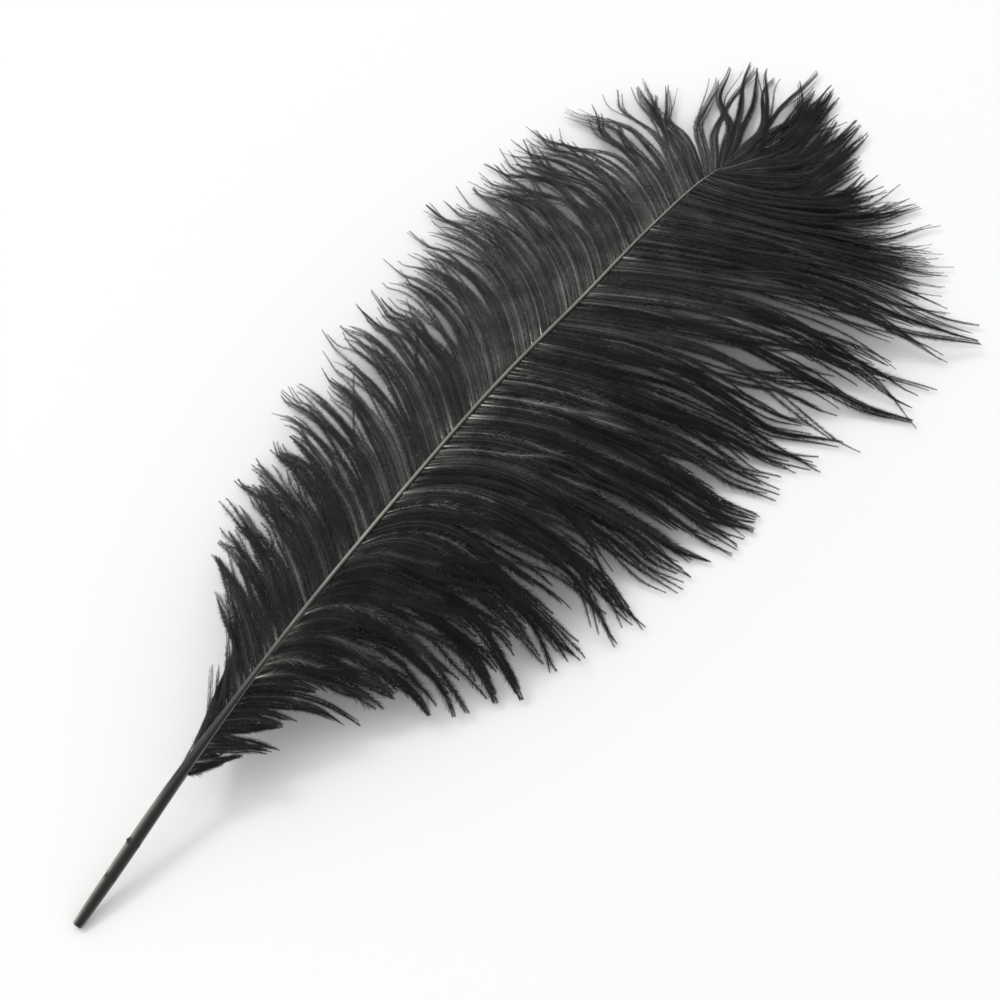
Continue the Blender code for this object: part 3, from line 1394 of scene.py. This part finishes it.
    def _faces(self, rings: int) -> list:
        """The walls between the rings, and a cap at each end.

        Args:
            rings: How many rings there are.

        Returns:
            The corners of each face.
        """
        index = np.arange(rings * self.sides).reshape(rings, self.sides)
        following = np.roll(index, -1, axis=1)
        walls = np.stack([index[:-1], following[:-1], following[1:], index[1:]], axis=-1)
        caps = [index[0][::-1].tolist(), index[-1].tolist()]
        return walls.reshape(-1, 4).tolist() + caps

    def _store(
        self, mesh: bpy.types.Mesh, stations: np.ndarray, sizes: np.ndarray, angles: np.ndarray
    ) -> None:
        """Stores the paler ridge, the painted highlights and the painted shade inside the cut end,
        for the shaft's finish.

        Args:
            mesh: The shaft's mesh.
            stations: Each ring's station.
            sizes: Each ring's size.
            angles: Each corner's place round the ring.
        """
        middle = np.exp(-(((stations - self.BRIGHTEST) / self.BRIGHT_LENGTH) ** 2))
        # The ridge is paler: partly dye rubbed thin, partly a painted highlight, brightest in the
        # middle.
        wear = rise(stations, *self.RIDGE_START) * (self.RIDGE_WEAR + self.BRIGHTER * middle)
        # A painted highlight along the lower right foot of the rachis.
        foot = rise(stations, *self.FOOT_START) * (1 - rise(stations, *self.FOOT_END))
        ridge = np.maximum(
            np.outer(wear, self.RIDGE.at(angles)), np.outer(foot, self.FOOT.at(angles))
        )
        slimming = rise(stations, *self.SLIMMING)
        slim = slimming * (1 - rise(stations, *self.SLIM_END))
        # The painted highlights on the quill stop at each mark, which leaves it dark there.
        stains = (
            np.exp(-(((stations - mark.station) / self.STAIN_LENGTH) ** 2)) for mark in self.marks
        )
        quill = (1 - slimming) * np.clip(1 - sum(stains), 0, 1)
        # Painted highlights along the quill's sides.
        edge = np.outer(quill, np.minimum(self.LEFT_EDGE.at(angles), 1))
        edge = edge + np.outer(quill + slim, self.RIGHT_EDGE.at(angles))
        edge = edge + np.outer(slim, self.UPPER_EDGE.at(angles))
        # Painted shade inside the hollow cut end.
        mouth = np.outer(1 - rise(sizes, *self.INNER_SIZES), np.ones(len(angles)))
        for label, values in {"ridge": ridge, "edge": edge, "mouth": mouth}.items():
            store(mesh, label, values)


class Streaks:
    """A shader node group: fine streaks along Y, as a mask from 0 to 1."""

    DETAIL = 3.0
    CONTRAST = (0.3, 0.7)

    def __init__(self) -> None:
        """Builds the group."""
        self.tree = bpy.data.node_groups.new("streaks", "ShaderNodeTree")
        face = self.tree.interface
        for label in ("Across", "Along"):
            face.new_socket(label, in_out="INPUT", socket_type="NodeSocketFloat")
        face.new_socket("Mask", in_out="OUTPUT", socket_type="NodeSocketFloat")
        nodes = NodeTree(self.tree)
        source = nodes.add("NodeGroupInput").outputs
        place = nodes.add("ShaderNodeTexCoord").outputs["Object"]
        scale = nodes.add(
            "ShaderNodeCombineXYZ", X=source["Across"], Y=source["Along"], Z=source["Across"]
        ).outputs[0]
        noise = nodes.add(
            "ShaderNodeTexNoise",
            Vector=nodes.vector("MULTIPLY", place, scale),
            Scale=1.0,
            Detail=self.DETAIL,
        ).outputs[0]
        low, high = self.CONTRAST
        mask = nodes.add("ShaderNodeMapRange", Value=noise, From_Min=low, From_Max=high)
        nodes.add("NodeGroupOutput", Mask=mask.outputs[0])

    def mask(self, nodes: NodeTree, scale: tuple[float, float]) -> bpy.types.NodeSocket:
        """Adds the group to a material.

        Args:
            nodes: The material's nodes.
            scale: How many streaks there are to the metre across X and Z, and along Y.

        Returns:
            The mask.
        """
        node = nodes.add("ShaderNodeGroup", {"node_tree": self.tree})
        node.inputs["Across"].default_value, node.inputs["Along"].default_value = scale
        return node.outputs["Mask"]


def blend(nodes: NodeTree, share: object, first: object, second: object) -> bpy.types.NodeSocket:
    """Adds a mix of two colours.

    Args:
        nodes: The material's nodes.
        share: The share of the second, or its socket.
        first: The first colour or its socket.
        second: The second.

    Returns:
        The mixed colour.
    """
    node = nodes.add("ShaderNodeMix", {"data_type": "RGBA"})
    nodes.feed(node.inputs[0], share)
    for socket, value in ((node.inputs[6], first), (node.inputs[7], second)):
        nodes.feed(socket, (*value, 1) if isinstance(value, tuple) else value)
    return node.outputs[2]


def reading(nodes: NodeTree, label: str) -> bpy.types.NodeSocket:
    """The value of a mesh attribute."""
    return nodes.add("ShaderNodeAttribute", {"attribute_name": label}).outputs["Fac"]


def new_material(name: str) -> tuple[bpy.types.Material, NodeTree, bpy.types.NodeInputs]:
    """Makes a material with a Principled shader.

    Args:
        name: Its name.

    Returns:
        The material, its nodes and the inputs of its shader.
    """
    material = bpy.data.materials.new(name)
    material.use_nodes = True
    inputs = material.node_tree.nodes["Principled BSDF"].inputs
    return material, NodeTree(material.node_tree), inputs


@dataclass(frozen=True)
class BarbFinish:
    """Black dye on the barbs: a slight gloss on each ramus and a duller fuzz of barbules, with
    painted sheen and glints.

    Args:
        streaks: The group that the patches come from.
        fuzz: The colour of the barbules.
        ramus: The colour of a ramus, lighter than the fuzz: partly its own colour and partly a
            painted sheen.
        worn: The paler colour of both: dye rubbed thin with a painted sheen near the shaft, and
            painted glints along some rami.
        bare: The colour of the bright painted glints at some roots.
        fuzz_wear: How much of the paler colour and painted sheen the barbules show.
        tones: The darkest and the lightest barb's brightness.
        tone_power: Above 1, most barbs are dark.
        patches: The darkest and the lightest patch's brightness.
        patch_scale: How many patches there are to the metre.
        roughness: The fuzz's and the ramus's.
        specular: How strongly both reflect.
    """

    streaks: Streaks
    fuzz: tuple = (0.0064, 0.0068, 0.0070)
    ramus: tuple = (0.020, 0.0205, 0.021)
    worn: tuple = (0.125, 0.125, 0.118)
    bare: tuple = (0.42, 0.40, 0.36)
    fuzz_wear: float = 0.6
    tones: tuple = (0.35, 2.6)
    tone_power: float = 2.0
    patches: tuple = (0.6, 1.55)
    patch_scale: tuple = (90.0, 90.0)
    roughness: tuple = (0.55, 0.32)
    specular: float = 0.18

    def material(self) -> bpy.types.Material:
        """Builds the material.

        Returns:
            The material.
        """
        material, nodes, inputs = new_material("dyed_barbs")
        ramus, pale, shade = (reading(nodes, label) for label in ("ramus", "pale", "shade"))
        # Paler near the shaft with a painted sheen, and painted glints along some rami.
        core = blend(nodes, pale, self.ramus, self.worn)
        # Bright painted glints at some roots.
        core = blend(nodes, nodes.maths("SUBTRACT", pale, 1.0), core, self.bare)
        # The barbules take part of that paling and painted sheen.
        fuzz_wear = nodes.maths("MULTIPLY", nodes.maths("MINIMUM", pale, 1.0), self.fuzz_wear)
        fuzz = blend(nodes, fuzz_wear, self.fuzz, self.worn)
        colour = blend(nodes, ramus, fuzz, core)
        tone = nodes.between(nodes.maths("POWER", shade, self.tone_power), self.tones)
        patch = nodes.between(self.streaks.mask(nodes, self.patch_scale), self.patches)
        tone = nodes.maths("MULTIPLY", tone, patch)
        nodes.feed(inputs["Base Color"], nodes.vector("SCALE", colour, tone))
        nodes.feed(inputs["Roughness"], nodes.between(ramus, self.roughness))
        nodes.feed(inputs["Specular IOR Level"], self.specular)
        return material


@dataclass(frozen=True)
class KeratinFinish:
    """Dyed keratin: a near-black quill and rachis, with painted highlights, a paler ridge and
    painted shade in the cut end.

    Args:
        streaks: The group that the streaks come from.
        dyed: The colour of the dye.
        worn: The colour of the ridge, partly dye rubbed thin and partly a painted highlight, and of
            the painted highlight on the foot of the rachis.
        edge: The colour of the painted highlights along the quill's sides.
        mouth: The colour of the painted shade inside the cut end.
        fine: How many fine streaks there are to the metre, across and along.
        broad: The same for the broad ones.
        wear: How much of the paler ridge and the painted highlights shows in the broad streaks, at
            least and at most.
        tones: The darkest and the lightest fine streak's brightness.
        roughness: The darkest and the lightest fine streak's.
        specular: How strongly it reflects.
        relief: How strongly the fine streaks show as relief.
        depth: Their depth in metres.
    """

    streaks: Streaks
    dyed: tuple = (0.008, 0.0078, 0.0075)
    worn: tuple = (0.42, 0.39, 0.34)
    edge: tuple = (0.34, 0.31, 0.27)
    mouth: tuple = (0.004, 0.004, 0.004)
    fine: tuple = (5200.0, 90.0)
    broad: tuple = (400.0, 60.0)
    wear: tuple = (0.6, 1.0)
    tones: tuple = (0.8, 1.15)
    roughness: tuple = (0.3, 0.45)
    specular: float = 0.35
    relief: float = 0.25
    depth: float = 0.0001

    def material(self) -> bpy.types.Material:
        """Builds the material.

        Returns:
            The material.
        """
        material, nodes, inputs = new_material("dyed_keratin")
        fine = self.streaks.mask(nodes, self.fine)
        wear = nodes.between(self.streaks.mask(nodes, self.broad), self.wear)
        colour = self.dyed
        # Painted highlights along the quill's sides, then the paler ridge with its painted
        # highlight.
        for label, worn in (("edge", self.edge), ("ridge", self.worn)):
            share = nodes.maths("MULTIPLY", reading(nodes, label), wear)
            colour = blend(nodes, share, colour, worn)
        # Painted shade inside the cut end.
        colour = blend(nodes, reading(nodes, "mouth"), colour, self.mouth)
        tone = nodes.between(fine, self.tones)
        nodes.feed(inputs["Base Color"], nodes.vector("SCALE", colour, tone))
        nodes.feed(inputs["Roughness"], nodes.between(fine, self.roughness))
        nodes.feed(inputs["Specular IOR Level"], self.specular)
        bump = nodes.add(
            "ShaderNodeBump", Strength=self.relief, Distance=self.depth, Height=fine
        )
        nodes.feed(inputs["Normal"], bump.outputs[0])
        return material


@dataclass(frozen=True)
class Lamp:
    """A square soft lamp.

    Args:
        name: Its name.
        place: Its place, from the point that it lights.
        size: Its side.
        power: Its power in watts.
    """

    name: str
    place: tuple
    size: float
    power: float


@dataclass(frozen=True)
class Studio:
    """A pale floor, soft light from the upper left and the camera.

    Args:
        shaft: The line whose cut end the camera is placed from.
        azimuth: How far the camera has gone round from -Y towards +X, in degrees.
        elevation: How high it looks down from, in degrees.
        distance: Its distance from the point that it looks at.
        target: That point, from the cut end of the shaft.
        lens: Its focal length in millimetres.
        sensor: Its sensor's width in millimetres.
        lamps: The lamps.
        sky: The strength of the even light from all round.
        floor_size: The floor's side.
        floor_colour: The floor's colour.
        floor_roughness: The floor's roughness.
    """

    shaft: ShaftLine
    azimuth: float = 35.5
    elevation: float = 57.0
    distance: float = 0.8403
    target: tuple = (0.0228, 0.2059, 0.02)
    lens: float = 85.0
    sensor: float = 36.0
    lamps: tuple = (
        Lamp("window", (-2.45, -0.9, 3.8), size=4.2, power=48.0),
        Lamp("key", (-2.70, -0.35, 3.8), size=1.0, power=39.0),
    )
    sky: float = 0.775
    floor_size: float = 12.0
    floor_colour: tuple = (0.930, 0.937, 0.925, 1)
    floor_roughness: float = 0.9

    def build(self) -> None:
        """Builds the floor, the lights and the camera."""
        self._floor()
        self._sky()
        aim = Vector(self.shaft.origin()) + Vector(self.target)
        for lamp in self.lamps:
            self._lamp(lamp, aim)
        self._camera(aim)

    def _floor(self) -> None:
        """Builds the floor."""
        size = self.floor_size / 2
        mesh = bpy.data.meshes.new("floor")
        corners = [(-size, -size, 0), (size, -size, 0), (size, size, 0), (-size, size, 0)]
        mesh.from_pydata(corners, [], [(0, 1, 2, 3)])
        material, _, inputs = new_material("pale_floor")
        inputs["Base Color"].default_value = self.floor_colour
        inputs["Roughness"].default_value = self.floor_roughness
        mesh.materials.append(material)
        floor = into_scene("floor", mesh)

    def _sky(self) -> None:
        """Lights the scene evenly from all round."""
        world = bpy.data.worlds.new("studio")
        world.use_nodes = True
        background = world.node_tree.nodes["Background"]
        background.inputs["Color"].default_value = (1, 1, 1, 1)
        background.inputs["Strength"].default_value = self.sky
        scene = bpy.context.scene
        scene.world = world
        scene.view_settings.view_transform = "Standard"

    def _lamp(self, lamp: Lamp, aim: Vector) -> None:
        """Puts up a lamp.

        Args:
            lamp: The lamp.
            aim: The point that it lights.
        """
        place = Vector(lamp.place)
        light = bpy.data.lights.new(lamp.name, "AREA")
        light.size = lamp.size
        light.energy = lamp.power
        obj = into_scene(lamp.name, light)
        obj.location = aim + place
        obj.rotation_euler = place.to_track_quat("Z", "Y").to_euler()

    def _camera(self, aim: Vector) -> None:
        """Puts up the camera, looking down at the plume.

        Args:
            aim: The point that it looks at.
        """
        azimuth, elevation = np.radians(self.azimuth), np.radians(self.elevation)
        level = np.cos(elevation)
        back = Vector((np.sin(azimuth) * level, -np.cos(azimuth) * level, np.sin(elevation)))
        right = Vector((np.cos(azimuth), np.sin(azimuth), 0.0))
        lens = bpy.data.cameras.new("camera")
        lens.lens = self.lens
        lens.sensor_width = self.sensor
        camera = into_scene("camera", lens)
        turn = Matrix((right, back.cross(right), back)).transposed().to_4x4()
        camera.matrix_world = Matrix.Translation(aim + back * self.distance) @ turn
        bpy.context.scene.camera = camera


def barb_groups(shaft: ShaftLine) -> list[BarbGroup]:
    """The groups of barbs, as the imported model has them.

    Args:
        shaft: The line that they grow from.

    Returns:
        The groups, from the foot of the plume to its head.
    """
    right = BarbField.vane(shaft, 1, RIGHT_BARBS)
    left = BarbField.vane(shaft, -1, LEFT_BARBS)
    fan = BarbField.fan(shaft, TIP_STRANDS)
    right_slits = (
        Slit(0.2675, 0.12, 0.44, 0.0012),
        Slit(0.2795, 0.50, 1.00, 0.0022),
        Slit(0.3030, 0.34, 0.76, 0.0009),
        Slit(0.3175, 0.36, 0.66, 0.0007),
        Slit(0.3325, 0.58, 0.92, 0.0010),
        Slit(0.3408, 0.12, 0.42, 0.0007),
        Slit(0.3630, 0.70, 1.10, 0.0010),
        Slit(0.3850, 0.46, 1.02, 0.0014),
    )
    left_slits = (
        Slit(0.130, 0.55, 1.10, 0.0012),
        Slit(0.214, 0.50, 0.90, 0.0006),
    )
    basal = Habit(gather=0.55, strand_pull=0.65, lock_pull=0.5, fluff=0.0026, wave=0.0008,
                  turn=0.10, fray=0.0006, uneven=0.16, lock_notch=0.35, bare=0.12, glints=0.0,
                  pale=0.1, root_glints=0.1, strays=0.0, spacing=(0.00052, 0.00060))
    downy = Habit(gather=0.58, strand_pull=0.66, lock_pull=0.0, fluff=0.0042, wave=0.0013,
                  turn=0.035, fray=0.0019, strays=0.08, ramus=0.00014, bare=0.06, straight=0.35,
                  uneven=0.13, lock_notch=0.0, glints=0.16, pale=0.2, root_fluff=0.0013,
                  spacing=(0.00066, 0.00060), root_glints=0.45)
    right_full = replace(downy, gather=0.60, strand_pull=0.68, fluff=0.0039, wave=0.0014,
                         fray=0.0018, ramus=0.00015, bare=0.08, straight=0.30, uneven=0.12,
                         pale=0.25, spacing=(0.00060, 0.00066))
    right_open = Habit(gather=0.40, strand_pull=0.86, lock_pull=0.1, fluff=0.0031, wave=0.0027,
                       turn=0.085, fray=0.0011, strand_width=0.0022, bare=0.07, glints=0.10,
                       pale=0.35, root_glints=0.2, uneven=0.08)
    crown = Habit(gather=0.50, strand_pull=0.50, lock_pull=0.05, fluff=0.0029, wave=0.0021,
                  turn=0.075, fray=0.0012, strand_width=0.0009, bare=0.10, glints=0.05,
                  spacing=(0.00048, 0.00006), pale=0.4, uneven=0.07, root_glints=0.05)
    left_full = Habit(gather=0.55, strand_pull=0.70, lock_pull=0.05, fluff=0.0036, wave=0.0010,
                      turn=0.04, fray=0.0011, straight=0.34, pale=0.12, pale_length=0.05,
                      glints=0.06, root_glints=0.12, uneven=0.10, lock_notch=0.04,
                      strand_width=0.0026)
    left_curled = Habit(gather=0.50, strand_pull=0.70, lock_pull=0.05, fluff=0.0030, wave=0.0011,
                        fray=0.0009, straight=0.08, pale=1.0, pale_length=0.07, uneven=0.09,
                        lock_notch=0.04, root_glints=0.1, strand_width=0.0021, bare=0.12)
    left_middle = replace(left_curled, straight=0.22, pale=0.55)
    left_open = Habit(gather=0.25, strand_pull=0.80, lock_pull=0.1, fluff=0.0027, wave=0.0028,
                      turn=0.12, fray=0.0006, straight=0.2, pale=1.0, pale_length=0.08,
                      glints=0.06, strand_width=0.0026, bare=0.12, lock_notch=0.06, uneven=0.06,
                      root_glints=0.1, strays=0.10)
    wisps = Habit(gather=0.02, strand_pull=0.92, lock_pull=0.92, fluff=0.0022, wave=0.0052,
                  turn=0.18, fray=0.0005, loft=0.004, strand_width=0.0040, bare=0.20,
                  spacing=(0.00050, 0.00050), pale=0.7, uneven=0.03, root_glints=0.1)
    return [
        BarbGroup("basal_down_right", right, (0.060, 0.068, 0.076, 0.086, 0.098),
                  basal, Growth(seed=11)),
        BarbGroup("right_vane_lower", right, (0.098, 0.110, 0.124, 0.138, 0.152, 0.165),
                  downy, Growth(seed=12, width=0.00025, spacing=0.00011), right_slits),
        BarbGroup("right_vane_middle", right, (0.165, 0.180, 0.196, 0.212, 0.232, 0.255),
                  right_full, Growth(seed=13, width=0.00025), right_slits),
        BarbGroup("right_vane_upper", right, (0.255, 0.272, 0.288, 0.304, 0.320, 0.345),
                  right_open, Growth(seed=14, width=0.00025, spacing=0.000125), right_slits),
        BarbGroup("right_crown", right, (0.345, 0.357, 0.368, 0.378, 0.387, 0.395, 0.4012),
                  crown, Growth(seed=15, width=0.00027, spacing=0.00014), right_slits),
        BarbGroup("left_vane_lower", left, (0.060, 0.078, 0.094, 0.110, 0.126, 0.142, 0.158),
                  left_full, Growth(seed=26, width=0.00025, spacing=0.00011), left_slits),
        BarbGroup("left_vane_middle", left, (0.158, 0.176, 0.192, 0.207, 0.220),
                  left_middle, Growth(seed=17), left_slits),
        BarbGroup("left_vane_upper", left, (0.220, 0.240, 0.260, 0.280, 0.300),
                  left_curled, Growth(seed=18), left_slits),
        BarbGroup("left_crown", left, (0.300, 0.318, 0.335, 0.350, 0.365, 0.380),
                  left_open, Growth(seed=19)),
        BarbGroup("tip_strands", fan, tuple(np.linspace(0, 1, 13)),
                  wisps, Growth(seed=20, width=0.00022), run=0.045),
    ]


def main() -> None:
    """Builds the shaft, the barbs and the studio, and notes the model's sizes."""
    logging.basicConfig(level=logging.INFO, format="%(name)s: %(message)s")
    shaft = ShaftLine()
    streaks = Streaks()
    Shaft(shaft).build(KeratinFinish(streaks).material())
    tree = BarbuleTree()
    finish = BarbFinish(streaks).material()
    for group in barb_groups(shaft):
        group.build(tree, finish)
    Studio(shaft).build()


if __name__ == "__main__":
    main()
